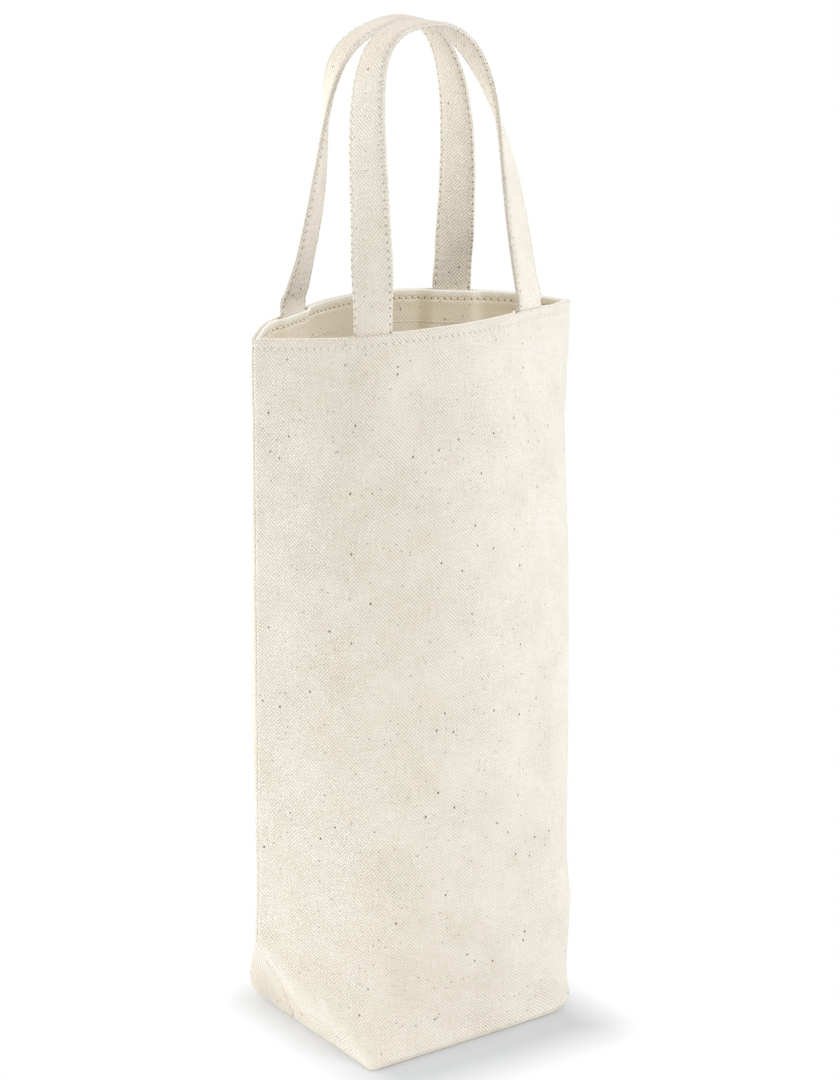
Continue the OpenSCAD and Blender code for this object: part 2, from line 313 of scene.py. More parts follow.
def onPanel(side, q, z, depth, rise=True):
    # points at cloth measures q and height z, a depth inside the panel's outer face
    q = np.asarray(q, float)
    points, inward = rowAt(side, z)
    inside = np.broadcast_to(depth, q.shape) - swellAt(side, q, z)
    place = atMeasures(q, points) + atMeasures(q, inward) * inside[:, None]
    height = z + (riseAt(z, q) if rise else 0)
    return np.column_stack([place, np.broadcast_to(height, q.shape)])


def settle(points):
    # the left seam runs back as it nears the base
    x, y, z = points[..., 0], points[..., 1], points[..., 2]
    half = bagSet["baseDepth"] / 2
    drift = np.interp(z, lowSet["driftLevels"], lowSet["drift"])
    share = 1 - smooth(np.abs(y) / half)
    across = clamp((bagSet["baseWidth"] / 2 - x) / bagSet["baseWidth"])
    moved = points.copy()
    moved[..., 1] = y + drift * share * across
    return moved


def addNode(tree, kind, inputs=None, **settings):
    # an input is set to a value, or linked when it is given another node's output
    node = tree.nodes.new(kind)
    for name, value in settings.items():
        setattr(node, name, value)
    for key, value in (inputs or {}).items():
        if isinstance(value, bpy.types.NodeSocket):
            tree.links.new(value, node.inputs[key])
        else:
            node.inputs[key].default_value = value
    return node


def calc(tree, operation, *values, **settings):
    inputs = dict(enumerate(values))
    return addNode(tree, "ShaderNodeMath", inputs, operation=operation, **settings).outputs[0]


def calcVector(tree, operation, *values):
    inputs = dict(enumerate(values))
    node = addNode(tree, "ShaderNodeVectorMath", inputs, operation=operation)
    return node.outputs["Value" if operation in ("DOT_PRODUCT", "LENGTH") else 0]


def remap(tree, value, low, high, toLow=0.0, toHigh=1.0, **settings):
    inputs = {0: value, 1: low, 2: high, 3: toLow, 4: toHigh}
    return addNode(tree, "ShaderNodeMapRange", inputs, **settings).outputs[0]


def mixColour(tree, share, a, b):
    return addNode(tree, "ShaderNodeMix", {0: share, 6: a, 7: b}, data_type="RGBA").outputs[2]


def scaled(tree, vector, scale):
    return addNode(tree, "ShaderNodeMapping", {"Vector": vector, "Scale": scale}).outputs[0]


def noiseAt(tree, vector, scale, detail, output="Fac"):
    inputs = {"Vector": vector, "Scale": scale, "Detail": detail}
    return addNode(tree, "ShaderNodeTexNoise", inputs).outputs[output]


def hexColour(text):
    parts = [int(text[k:k + 2], 16) / 255 for k in (1, 3, 5)]
    linear = [p / 12.92 if p <= 0.04045 else ((p + 0.055) / 1.055) ** 2.4 for p in parts]
    return (*linear, 1.0)


def newMaterial(name):
    material = bpy.data.materials.new(name)
    material.use_nodes = True
    material.node_tree.nodes.clear()
    return material, material.node_tree


def finishPiece(bm, name, material):
    bmesh.ops.recalc_face_normals(bm, faces=bm.faces)
    mesh = bpy.data.meshes.new(name)
    bm.to_mesh(mesh)
    bm.free()
    mesh.polygons.foreach_set("use_smooth", [True] * len(mesh.polygons))
    mesh.materials.append(material)
    piece = bpy.data.objects.new(name, mesh)
    scene.collection.objects.link(piece)
    return piece


def clothGrid(name, places, measures, material, fillEnds=False):
    # a woven grid laid over the places given for its rows and columns, and settled
    places = settle(np.array(places)) * mm
    measures = np.array(measures) * mm
    rows, cols = places.shape[:2]
    bm = bmesh.new()
    bmesh.ops.create_grid(bm, x_segments=cols - 1, y_segments=rows - 1, size=0.5)
    uv = bm.loops.layers.uv.new("UVMap")
    spot = {}
    for v in bm.verts:
        spot[v] = (round((v.co.y + 0.5) * (rows - 1)), round((v.co.x + 0.5) * (cols - 1)))
    for f in bm.faces:
        for loop in f.loops:
            loop[uv].uv = measures[spot[loop.vert]]
    for v, where in spot.items():
        v.co = places[where]
    bmesh.ops.remove_doubles(bm, verts=bm.verts, dist=2e-6)
    if fillEnds:
        rim = [e for e in bm.edges if e.is_boundary]
        bmesh.ops.holes_fill(bm, edges=rim, sides=0)
    return finishPiece(bm, name, material)


# patterns are in mm of cloth; "repeat" is the step from rib to rib, three yarns of 0.47 mm
clothSet = {
    "colour": "#F1E9DE", "dark": "#C5B79D", "repeat": 1.42, "wander": 0.7, "roughness": 0.9,
    "sheen": 0.2, "relief": 0.085, "slubHeight": 1.7, "fibreHeight": 0.7, "holeSink": -6.0,
    # how many noise cells there are in a millimetre
    "wanderScale": 0.16, "crossingScale": 0.06, "fibreScale": 1.7, "mottleScale": 0.05,
    "tint": 1.06, "ribTint": -0.21, "slubTint": -0.6, "mottleTint": -0.5,
    "fleck": "#5E3F1C", "greyFleck": "#4F4232",
    # stretch, cell size, share of empty cells, fleck size, strength: first the large flecks
    "flecks": (((1, 0.75, 1), 3.9, 0.42, 0.31, 0.8), ((0.75, 1, 1), 1.9, 0.5, 0.24, 0.36)),
    # the hole colour is painted shade inside the needle holes
    "holePitch": 2.8, "hole": 0.36, "holeShade": "#775F38", "rimHighlight": "#FFFCF2",
    # the rim colour is a painted highlight on the turned edge, from 2.2 to 0.9 mm below the top
    "highlightFrom": 2.2, "highlightTo": 0.9,
}
# needle holes run under the rim, and on a strap beside both edges of both faces
rimHoles = (bagSet["height"] - bagSet["rimStitch"],)
strapHoles = (1.75, 15.5, 18.2, 32.0)


def seedFlecks(tree, woven, colour, stretch, cell, empty, size, fade):
    # bits of cotton seed: one in some of the cells, of uneven size, brown to grey
    inputs = {"Vector": scaled(tree, woven, stretch), "Scale": 1 / cell}
    cells = addNode(tree, "ShaderNodeTexVoronoi", inputs).outputs
    dice = addNode(tree, "ShaderNodeSeparateColor", {"Color": cells["Color"]}).outputs
    chosen = calc(tree, "GREATER_THAN", dice["Red"], empty)
    reach = calc(tree, "MULTIPLY_ADD", dice["Blue"], 0.9 * size / cell, 0.6 * size / cell)
    near = remap(tree, cells["Distance"], 0.0, reach, 2.2, 0.0)
    mask = calc(tree, "MULTIPLY", chosen, calc(tree, "MINIMUM", near, fade))
    brown, grey = hexColour(clothSet["fleck"]), hexColour(clothSet["greyFleck"])
    kind = mixColour(tree, dice["Green"], brown, grey)
    return mixColour(tree, mask, colour, kind)


def needleHoles(tree, plain, rows, along, depth):
    # holes at an even pitch in rows at these measures; along is the axis that the rows follow
    parts = addNode(tree, "ShaderNodeSeparateXYZ", {0: plain}).outputs
    off = None
    for row in rows:
        apart = calc(tree, "ABSOLUTE", calc(tree, "SUBTRACT", parts[1 - along], row))
        off = apart if off is None else calc(tree, "MINIMUM", off, apart)
    step = calc(tree, "PINGPONG", parts[along], clothSet["holePitch"] / 2)
    spot = addNode(tree, "ShaderNodeCombineXYZ", {0: step, 1: off}).outputs[0]
    away, size = calcVector(tree, "LENGTH", spot), clothSet["hole"]
    return remap(tree, away, 0.3 * size, 1.5 * size, depth, 0.0, interpolation_type="SMOOTHSTEP")


def coverWith(tree, colour, height, strength, relief, roughness, specular):
    # a matt, slightly fuzzy surface; its relief is in mm
    inputs = {"Height": height, "Strength": strength, "Distance": relief * mm}
    bump = addNode(tree, "ShaderNodeBump", inputs).outputs[0]
    shader = addNode(tree, "ShaderNodeBsdfPrincipled",
                     {"Base Color": colour, "Normal": bump, "Roughness": roughness,
                      "Specular IOR Level": specular, "Sheen Weight": clothSet["sheen"]})
    addNode(tree, "ShaderNodeOutputMaterial", {"Surface": shader.outputs[0]})


def clothMaterial(name, tone=clothSet["colour"], dark=clothSet["dark"], rough=1.0,
                  holeRows=(), holeDepth=0.6, along=0, rim=None):
    # loom-state cotton twill: matt, fuzzy, with fine diagonal ribs, slubs and bits of seed
    material, tree = newMaterial(name)
    uv = addNode(tree, "ShaderNodeUVMap", uv_map="UVMap")
    plain = scaled(tree, uv.outputs["UV"], (1000, 1000, 1000))
    drift = noiseAt(tree, plain, clothSet["wanderScale"], 2.0, "Color")
    centred = calcVector(tree, "SUBTRACT", drift, (0.5, 0.5, 0.5))
    wander = (clothSet["wander"], clothSet["wander"], 0)
    woven = calcVector(tree, "MULTIPLY_ADD", centred, wander, plain)
    turn = 2 * math.pi / clothSet["repeat"]
    ribs = [calc(tree, "SINE", calcVector(tree, "DOT_PRODUCT", woven, (turn, lean, 0)))
            for lean in (turn, -turn)]
    # the ribs run down to the right; crossing gaps between the yarns show in patches
    patches = noiseAt(tree, plain, clothSet["crossingScale"], 3.0)
    crossing = remap(tree, patches, 0.4, 0.6, 0.35, 1.0)
    weave = calc(tree, "ADD", ribs[0], calc(tree, "MULTIPLY", ribs[1], crossing))
    slubs = calc(tree, "ADD", *[noiseAt(tree, scaled(tree, woven, stretch), 1.0, 4.0)
                                for stretch in ((2.1, 0.12, 1), (0.14, 1.9, 1))])
    # height of the weave: ribs, thick and thin yarns, loose fibre
    height = calc(tree, "MULTIPLY_ADD", slubs, clothSet["slubHeight"], weave)
    fibre = noiseAt(tree, plain, clothSet["fibreScale"], 3.0)
    height = calc(tree, "MULTIPLY_ADD", fibre, clothSet["fibreHeight"], height)
    # colour: darker between the ribs and in thin places
    tint = calc(tree, "MULTIPLY_ADD", weave, clothSet["ribTint"], clothSet["tint"])
    tint = calc(tree, "MULTIPLY_ADD", slubs, clothSet["slubTint"], tint)
    mottle = noiseAt(tree, plain, clothSet["mottleScale"], 4.0)
    tint = calc(tree, "MULTIPLY_ADD", mottle, clothSet["mottleTint"], tint, use_clamp=True)
    colour = mixColour(tree, tint, hexColour(tone), hexColour(dark))
    for flecks in clothSet["flecks"]:
        colour = seedFlecks(tree, woven, colour, *flecks)
    if rim:
        # a painted highlight: the turned edge is painted paler towards the top of the rim, as where
        # the fold catches the light
        up = addNode(tree, "ShaderNodeSeparateXYZ", {0: plain}).outputs[1]
        share = remap(tree, up, rim - clothSet["highlightFrom"], rim - clothSet["highlightTo"])
        colour = mixColour(tree, share, colour, hexColour(clothSet["rimHighlight"]))
    if holeRows:
        # the needle holes are painted dark, as shade inside each hole, and sunk in the bump
        hole = needleHoles(tree, plain, holeRows, along, holeDepth)
        colour = mixColour(tree, hole, colour, hexColour(clothSet["holeShade"]))
        height = calc(tree, "MULTIPLY_ADD", hole, clothSet["holeSink"], height)
    coverWith(tree, colour, height, 0.8, rough * clothSet["relief"], clothSet["roughness"], 0.2)
    return material


twill = clothMaterial("loom-state cotton twill", holeRows=rimHoles, holeDepth=0.3)
# the facing is painted paler and warmer than the panels' cloth, as painted light standing in for
# light bouncing round inside the bag
facingTwillPaintedLight = clothMaterial("cotton twill facing with painted inner light", tone="#FFF6E4", dark="#F6E4C2", rough=0.45,
                            holeRows=rimHoles, holeDepth=0.9, rim=bagSet["height"])
strapTwill = clothMaterial("folded cotton twill strap", rough=0.75, holeRows=strapHoles, along=1)
seamTwill = clothMaterial("cotton twill seam allowance", tone="#F0E4CC")
print("cloth materials made")

# mesh steps, the fold round the base, the turned rim, and the zone that the facing presses out
panelSet = {
    "step": 1.4, "edge": (0, 0.35, 0.8, 1.4, 2.2), "afterEdge": 3.2, "wallStep": 1.6,
    "rimStep": 0.5, "rimZone": 6, "baseRows": 16, "crowding": 1.5,
    "foldRows": 6, "foldFront": 1.8, "foldSeam": 0.9,
    "rimRadius": 0.5, "rimRows": 7, "seamWidth": 1.1, "groove": 0.28, "grooveWidth": 0.45,
    "pressed": 0.25, "pressedTo": 24.5,
}


def panelColumns():
    edge, start, width = panelSet["edge"], panelSet["afterEdge"], bagSet["panelWidth"]
    count = int(round((width - 2 * start) / panelSet["step"]))
    middle = np.linspace(start, width - start, count)
    return np.concatenate([edge, middle, width - np.array(edge[::-1])])


def makePanel(side, node):
    # rows run up the outer face from the middle of the base to the rim, then back down inside
    q = panelColumns()
    cloth, top, radius = bagSet["cloth"], bagSet["height"], panelSet["rimRadius"]
    half = bagSet["baseDepth"] / 2
    fold = lerp(panelSet["foldFront"], panelSet["foldSeam"], smooth((half + 3 - fromSeam(q)) / 6))
    atSeam = fromSeam(q) < 0.01
    foot, footIn = [atMeasures(q, line) for line in rowAt(side, 0)]
    rows, uvs = [], []

    def seamDip(depth):
        # both panels turn inwards where they meet at a side seam
        return cloth * bell(fromSeam(q), panelSet["seamWidth"] / 2) if depth < cloth / 2 else 0

    def wallRow(z, depth, extra=0.0):
        rows.append(onPanel(side, q, z, np.where(atSeam, cloth, depth + extra + seamDip(depth))))
        uvs.append(np.column_stack([q, np.full(len(q), z)]))

    def foldRow(turn, depth):
        turnRadius = np.maximum(fold - depth, 0.05)
        inset = fold - turnRadius * math.cos(turn) + seamDip(depth)
        inset = np.where(atSeam, cloth + fold * (1 - math.cos(turn)), inset)
        lift = fold - turnRadius * math.sin(turn)
        lift = np.where(atSeam, fold + (cloth - fold) * math.sin(turn), lift)
        place = foot + footIn * inset[:, None]
        place[0, 1] = place[-1, 1] = 0
        rows.append(np.column_stack([place, lift]))
        uvs.append(np.column_stack([q, -fold * turn]))

    def baseRow(share, depth):
        inset = fold + np.where(atSeam, cloth, seamDip(depth))
        at = foot + footIn * inset[:, None]
        at[0, 1] = at[-1, 1] = 0
        middle = lerp(at[0, 0], at[-1, 0], q / bagSet["panelWidth"])
        place = lerp(at, np.column_stack([middle, np.zeros(len(q))]), share)
        away = np.abs(place[:, 1])
        place[:, 1] = side * away
        lift = depth + (cloth * bell(away, 0.6) if depth < cloth / 2 else 0)
        if share >= 1:
            lift = np.full(len(q), cloth)
        rows.append(np.column_stack([place, np.broadcast_to(lift, q.shape)]))
        uvs.append(np.column_stack([place[:, 0] + bagSet["panelWidth"] / 2, away - half]))

    count = panelSet["baseRows"]
    shares = [1 - (k / count) ** panelSet["crowding"] for k in range(count)]
    turns = [math.pi / 2 * (1 - k / panelSet["foldRows"]) for k in range(panelSet["foldRows"])]
    lowest, highest = panelSet["foldFront"] + 0.4, top - panelSet["rimZone"]
    walls = list(np.arange(lowest, highest, panelSet["wallStep"]))
    walls += list(np.arange(walls[-1] + 1.0, top - radius - 0.2, panelSet["rimStep"]))
    for share in shares:
        baseRow(share, 0)
    for turn in turns:
        foldRow(turn, 0)
    for z in walls:
        # the edge is stitched down below the rim and pressed as far down as the facing reaches
        groove = panelSet["groove"] * bell(top - z - bagSet["rimStitch"], panelSet["grooveWidth"])
        step = -panelSet["pressed"] * smooth((panelSet["pressedTo"] - (top - z)) / 1.5)
        wallRow(z, 0, groove + step)
    last = panelSet["rimRows"] - 1
    for k in range(panelSet["rimRows"]):
        turn = math.pi * k / last
        depth = radius * (1 - math.cos(turn)) - panelSet["pressed"] * (1 - k / last)
        wallRow(top - radius + radius * math.sin(turn), depth)
    for z in walls[::-1]:
        wallRow(z, cloth)
    for turn in turns[::-1]:
        foldRow(turn, cloth)
    for share in shares[::-1]:
        baseRow(share, cloth)
    panel = clothGrid(node + "_cloth", rows, uvs, twill)
    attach(panel, "bag")
    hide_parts(node)
    return panel


frontPanel = makePanel(front, "front_panel")
backPanel = makePanel(back, "back_panel")
print("panels made")

# the facings line the mouth and cover the strap ends; depths count from the panel's outer face
facingSet = {
    "depth": 25.0, "rim": 1.05, "body": 1.0, "cloth": 0.8, "rimRadius": 0.55, "rimRows": 7,
    "overStrap": 2.1, "ease": 6.0, "pull": 0.3, "lowPull": 0.08,
    "hem": 5, "hemThick": 0.35, "edge": 0.5, "edgeStep": 0.1,
}
strapSet = {
    "width": 15.2, "thick": 2.0, "tuck": 19.0, "gap": 86.4, "shift": 4.5, "fold": 3.4, "step": 0.7,
    "ease": 20.0, "rowIn": 1.3, "flare": 0.07, "flareLength": 10.0, "bend": 3.0,
    "wave": 0.15, "waveLength": 14, "lump": 0.12, "lumpLength": 6, "pucker": 0.05, "pitch": 2.6,
}

# how each strap leaves its ends, where its crown is, and how it turns on the way up, in degrees
loopSet = {
    front: {"pulls": ((3.5, 4.6, 63.3), (-0.7, 11.0, 39.5)), "crown": (-7.6, 12.2, 373.6),
            "lead": -7.1, "climb": 0.1, "reach": (28.8, 32.0),
            "turns": ((-6, -80), (-34.6, -108.4, -89.4), (0, 0), (-160.7, -70.4, -89.4))},
    back: {"pulls": ((8.9, -20.8, 66.0), (2.7, -3.0, 57.7)), "crown": (0.8, -0.8, 370.6),
           "lead": -13.8, "climb": 0.4, "reach": (28.2, 33.2),
           "turns": ((4, 19), (-162.9, -84.0, -101.4), (-6, -60), (-45.2, -118.8, -101.4))},
}


def legsOf(side):
    middle = bagSet["panelWidth"] / 2 - side * strapSet["shift"]
    return middle - strapSet["gap"] / 2, middle + strapSet["gap"] / 2


def overStraps(side, q):
    # how far the facing stands off the panel over the tucked strap ends
    far = np.min([np.abs(q - leg) for leg in legsOf(side)], axis=0)
    return facingSet["overStrap"] * smooth(1 - (far - strapSet["width"] / 2) / facingSet["ease"])


def facingSeen(below):
    # depth of the facing's visible face: the stitch lines pull in, the lower hem is thicker
    rim = facingSet["rim"] + 2 * facingSet["rimRadius"]
    body = facingSet["body"] + facingSet["cloth"]
    depth = lerp(rim, body, smooth((below - 3) / 5))
    depth -= (facingSet["pull"] * bell(below - bagSet["rimStitch"], 0.45)
              + facingSet["lowPull"] * bell(below - bagSet["lowStitch"], 0.5))
    hem = facingSet["depth"] - facingSet["hem"]
    return depth + facingSet["hemThick"] * smooth((below - hem) / 1.5)


def makeFacing(side, node):
    # rows run up the face that is seen, over the rim, and down the hidden face
    q = panelColumns()
    top, radius, low = bagSet["height"], facingSet["rimRadius"], facingSet["depth"]
    edge, body, nearLow = facingSet["edge"], facingSet["body"], top - low + facingSet["edgeStep"]
    over = overStraps(side, q)
    rows, uvs = [], []

    def addRow(z, depth, v):
        put = depth + over * smooth((strapSet["tuck"] + 3.5 - (top - z)) / 3)
        rows.append(onPanel(side, q, z, np.where(fromSeam(q) < 0.01, facingSet["rim"] + 0.5, put)))
        uvs.append(np.column_stack([q, np.full(len(q), v)]))

    levels = np.concatenate([np.arange(low - 0.5, 6, -0.9), np.arange(5.8, radius, -0.35)])
    addRow(top - low, body + edge, top - low)
    addRow(nearLow, facingSeen(low) - 0.15, top - low)
    for below in levels:
        addRow(top - below, facingSeen(below), top - below)
    for k in range(facingSet["rimRows"]):
        turn = math.pi * k / (facingSet["rimRows"] - 1)
        depth = facingSet["rim"] + radius * (1 + math.cos(turn))
        addRow(top - radius + radius * math.sin(turn), depth, top + k * 0.2)
    for below in levels[::-1]:
        addRow(top - below, lerp(facingSet["rim"], body, below / 24), top + 1 + below)
    addRow(nearLow, body + 0.15, top + 1 + low)
    addRow(top - low, body + edge, top + 1 + low)
    facing = clothGrid(node + "_cloth", rows, uvs, facingTwillPaintedLight)
    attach(facing, "bag")
    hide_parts(node)
    return facing


frontFacing = makeFacing(front, "front_facing")
backFacing = makeFacing(back, "back_facing")
print("facings made")


def bernstein(values, t):
    n = len(values) - 1
    return sum(v * math.comb(n, k) * t ** k * (1 - t) ** (n - k) for k, v in enumerate(values))


def strapRoute(side):
    # middle line, width direction, outward direction and cloth length from end to end
    legs, loop = legsOf(side), loopSet[side]
    middleDepth = bagSet["cloth"] + bagSet["gap"] + strapSet["thick"] / 2
    feet, mouthAngles = [], []
    for leg in (0, 1):
        at = onPanel(side, [legs[leg] - 8, legs[leg], legs[leg] + 8], bagSet["height"], middleDepth)
        feet.append(at[1] + (0, 0, strapSet["fold"]))
        mouthAngles.append(math.degrees(math.atan2(at[2, 1] - at[0, 1], at[2, 0] - at[0, 0])))
    across, towards, height = loop["crown"]
    middle = (feet[0] + feet[1]) / 2
    crown = np.array([middle[0] + across, middle[1] + towards, height])
    slant = math.radians(loop["lead"])
    lead = np.array([math.cos(slant), math.sin(slant), loop["climb"]])
    t = np.linspace(0, 1, 300)
    rising = cubic(feet[0], feet[0] + loop["pulls"][0], crown - lead * loop["reach"][0], crown, t)
    falling = cubic(crown, crown + lead * loop["reach"][1], feet[1] + loop["pulls"][1], feet[1], t)
    line = np.vstack([rising, falling[1:]])
    length = runLength(line)
    for leg, far in ((0, length), (1, length[-1] - length)):
        # the foot leaves the mouth upright and bends over within a short way
        pull = np.array(loop["pulls"][leg])
        lean = pull[:2] / np.linalg.norm(pull)
        line[:, :2] -= np.outer(far * np.exp(-(far / strapSet["bend"]) ** 2), lean)
    crownAt, total = length[len(t) - 1], length[-1]
    even = np.linspace(0, total, int(total / strapSet["step"]))
    line = np.stack([np.interp(even, length, line[:, c]) for c in range(3)], 1)
    angles = np.zeros(len(even))
    for leg in (0, 1):
        foot = mouthAngles[leg] - (0 if (leg == 0) == (side == front) else 180)
        part = even < crownAt if leg == 0 else even >= crownAt
        up = even[part] / crownAt if leg == 0 else (total - even[part]) / (total - crownAt)
        nearFoot = [foot + more for more in loop["turns"][2 * leg]]
        angles[part] = bernstein(nearFoot + list(loop["turns"][2 * leg + 1]), up)
        far = even[part] if leg == 0 else total - even[part]
        angles[part] -= loop["turns"][2 * leg][0] * np.exp(-(far / strapSet["bend"]) ** 2)
    angles = np.radians(angles)
    run = unitRows(np.gradient(line, axis=0))
    flat = np.stack([np.cos(angles), np.sin(angles), 0 * angles], 1)
    wide = unitRows(flat - (flat * run).sum(1)[:, None] * run)
    return even, line, wide, np.cross(run, wide), total


def strapSurface(side):
    # returns point(s, c, h): s along the cloth from the left fold line, c across, h out of it
    even, line, wide, out, total = strapRoute(side)
    legs = legsOf(side)
    top = bagSet["height"]
    middleDepth = bagSet["cloth"] + bagSet["gap"] + strapSet["thick"] / 2
    free, ease = strapSet["fold"], strapSet["ease"]

    def onFoot(leg, below, c, h):
        sign = 1 if (leg == 0) == (side == front) else -1
        z = top - below
        q = legs[leg] + sign * c
        at = onPanel(side, q, min(z, top), middleDepth + h, rise=False)
        at[:, 2] = z + riseAt(min(z, top), legs[leg])
        return at

    def points(s, c, h):
        leg = 0 if s < total / 2 else 1
        above = s if leg == 0 else total - s
        c = c * (1 + strapSet["flare"] * (1 - smooth(above / strapSet["flareLength"])))
        inLoop = min(max(s, 0), total)
        p = [np.array([np.interp(inLoop, even, a[:, k]) for k in range(3)])
             for a in (line, wide, out)]
        spread = np.outer(c, p[1]) + np.outer(h, p[2])
        if above > ease:
            return p[0] + spread
        foot = onFoot(leg, -above - free, c, h)
        if above <= 0:
            return foot
        middle = onFoot(leg, -above - free, np.zeros(1), np.zeros(1))
        return p[0] + lerp(foot - middle, spread, smooth(above / ease))

    return points, total


# half sections: distance across a 16 mm strap, and thickness with a dip at each stitch row
strapRing = [(-8, 0.0), (-7.85, 0.5), (-7.4, 0.82), (-6.95, 0.8), (-6.7, 0.68), (-6.4, 0.82),
             (-5.8, 0.95), (-4, 1.0), (-2, 1.0), (0, 1.0), (2, 1.0), (4, 1.0), (5.8, 0.95),
             (6.4, 0.82), (6.7, 0.68), (6.95, 0.8), (7.4, 0.84), (7.9, 0.6), (8.0, 0.4),
             (7.8, 0.08)]
strapRing = [(c * strapSet["width"] / 16, h) for c, h in strapRing]
strapRing = strapRing + [(c, -h) for c, h in strapRing[:0:-1]] + [strapRing[0]]


def makeStrap(side, node):
    points, total = strapSurface(side)
    buried = strapSet["tuck"] + strapSet["fold"]
    count = int((total + 2 * buried) / strapSet["step"])
    ring = np.array(strapRing)
    around = runLength(ring)
    rows, uvs = [], []
    for s in np.linspace(-buried, total + buried, count):
        # the width wavers, and the cloth is uneven and puckered between the stitches
        wave = strapSet["wave"] * noise.noise(Vector((s / strapSet["waveLength"], side * 3, 0)))
        lump = strapSet["lump"] * noise.noise(Vector((s / strapSet["lumpLength"], side * 3, 5)))
        pucker = strapSet["pucker"] * math.cos(2 * math.pi * s / strapSet["pitch"])
        c = ring[:, 0] * (1 + wave / 8)
        h = ring[:, 1] * (1 + lump * 0.5 + pucker)
        rows.append(points(s, c, h))
        uvs.append(np.column_stack([around, np.full(len(around), s)]))
    strap = clothGrid(node + "_strap", rows, uvs, strapTwill, fillEnds=True)
    foot = points(0, np.zeros(1), np.zeros(1))[0]
    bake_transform(strap)
    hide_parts(node, node + "_ends")
    return strap, points, total


frontStrap, frontPoints, frontTotal = makeStrap(front, "front_handle")
backStrap, backPoints, backTotal = makeStrap(back, "back_handle")
print("handles made")

# stitches are short thread ends that lie in the stitch grooves
threadSet = {"colour": "#FBF8F0", "dark": "#DDD5C2", "length": 2.3, "radius": 0.34, "pitch": 2.8,
             "overlock": 0.2, "relief": 0.05, "roughness": 0.7}


def threadMaterial():
    # spun cotton sewing thread: two plies twisted together, a little smoother than the cloth
    material, tree = newMaterial("spun cotton thread")
    uv = addNode(tree, "ShaderNodeUVMap", uv_map="UVMap")
    ply = calc(tree, "SINE", calcVector(tree, "DOT_PRODUCT", uv.outputs["UV"], (12.6, 37.7, 0)))
    tones = [hexColour(threadSet[tone]) for tone in ("dark", "colour")]
    colour = mixColour(tree, remap(tree, ply, -1.0, 0.6), *tones)
    coverWith(tree, colour, ply, 0.5, threadSet["relief"], threadSet["roughness"], 0.3)
    return material


thread = threadMaterial()


def startThreads():
    batch = {"whole": bmesh.new(), "part": None, "count": 0}
    batch["whole"].loops.layers.uv.new("UVMap")
    return batch


def gatherThreads(batch):
    # small groups are joined on as they fill up, because one large bmesh is slow to add to
    if batch["part"] is None:
        return
    shared = bpy.data.meshes.new("threads")
    batch["part"].to_mesh(shared)
    batch["part"].free()
    batch["whole"].from_mesh(shared)
    bpy.data.meshes.remove(shared)
    batch["part"] = None


def addStitch(batch, a, b, outward, radius, dice):
    # one thread from a to b, swollen in its middle; its ends move with the settled cloth
    if batch["part"] is None:
        batch["part"] = bmesh.new()
        batch["part"].loops.layers.uv.new("UVMap")
        batch["count"] = 0
    a, b = [Vector(settle(np.array([point], float))[0]) * mm for point in (a, b)]
    along = (b - a) * 0.5
    flat = Vector(outward).cross(along).normalized()
    flat = (flat + Vector(outward).normalized() * dice.uniform(-0.1, 0.1)).normalized()
    up = along.cross(flat).normalized()
    radius *= dice.uniform(0.92, 1.08) * mm
    middle = (a + b) * 0.5
    place = Matrix(((flat.x * radius, up.x * radius, along.x, middle.x),
                    (flat.y * radius, up.y * radius, along.y, middle.y),
                    (flat.z * radius, up.z * radius, along.z, middle.z), (0, 0, 0, 1)))
    bmesh.ops.create_uvsphere(batch["part"], u_segments=6, v_segments=5, radius=1, matrix=place,
                              calc_uvs=True)
    batch["count"] += 1
    if batch["count"] >= 40:
        gatherThreads(batch)


def finishThreads(batch, name):
    gatherThreads(batch)
    piece = finishPiece(batch["whole"], name, thread)
    return piece


def makeRimStitches(side, name):
    dice = random.Random(11 + side)
    bm = startThreads()
    pitch, top = threadSet["pitch"], bagSet["height"]
    inset = (pitch - threadSet["length"]) / 2
    # level, depth and kind of row: outside, inside, and the finer row lower down inside
    lines = [(top - bagSet["rimStitch"], -0.02, -1), (top - bagSet["rimStitch"], 0, 1),
             (top - bagSet["lowStitch"], 0, 2)]
    for z, depth, kind in lines:
        for k in range(1, int(bagSet["panelWidth"] / pitch)):
            q = np.array([k * pitch + inset, (k + 1) * pitch - inset])
            if q[1] > bagSet["panelWidth"] - 2:
                continue
            put = np.full(2, float(depth))
            if kind > 0:
                put = overStraps(side, q) + facingSeen(top - z) + 0.06
            ends = onPanel(side, q, z, put)
            inner = onPanel(side, q, z, put + 1)
            outward = (ends - inner)[0] * (1 if kind < 0 else -1)
            radius = threadSet["radius"] * (0.7 if kind == 2 else 1)
            addStitch(bm, ends[0], ends[1], outward, radius, dice)
    piece = finishThreads(bm, name)
    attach(piece, "bag")
    return piece


def makeStrapStitches(side, body, points, total):
    # two rows on both faces, from the rim to the rim
    dice = random.Random(31 + side)
    bm = startThreads()
    pitch = threadSet["pitch"]
    start = 1 - int(strapSet["fold"] / pitch)
    rowAcross = strapSet["width"] / 2 - strapSet["rowIn"]
    inset = (pitch - threadSet["length"]) / 2
    for face in (-1, 1):
        for row in (-1, 1):
            for k in range(start, int(total / pitch) + 1):
                c = np.array([row * rowAcross])
                ends = [points(s, c, np.array([face * 0.7]))[0]
                        for s in (k * pitch + inset, (k + 1) * pitch - inset)]
                above = points(k * pitch + inset, c, np.array([face * 1.7]))[0]
                addStitch(bm, ends[0], ends[1], above - ends[0], threadSet["radius"], dice)
    piece = finishThreads(bm, body + "_stitches")
    foot = points(0, np.zeros(1), np.zeros(1))[0]
    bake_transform(piece)
    return piece


frontRimStitches = makeRimStitches(front, "front_rim_stitches")
backRimStitches = makeRimStitches(back, "back_rim_stitches")
frontStrapStitches = makeStrapStitches(front, "front_handle", frontPoints, frontTotal)
backStrapStitches = makeStrapStitches(back, "back_handle", backPoints, backTotal)
print("stitches made")

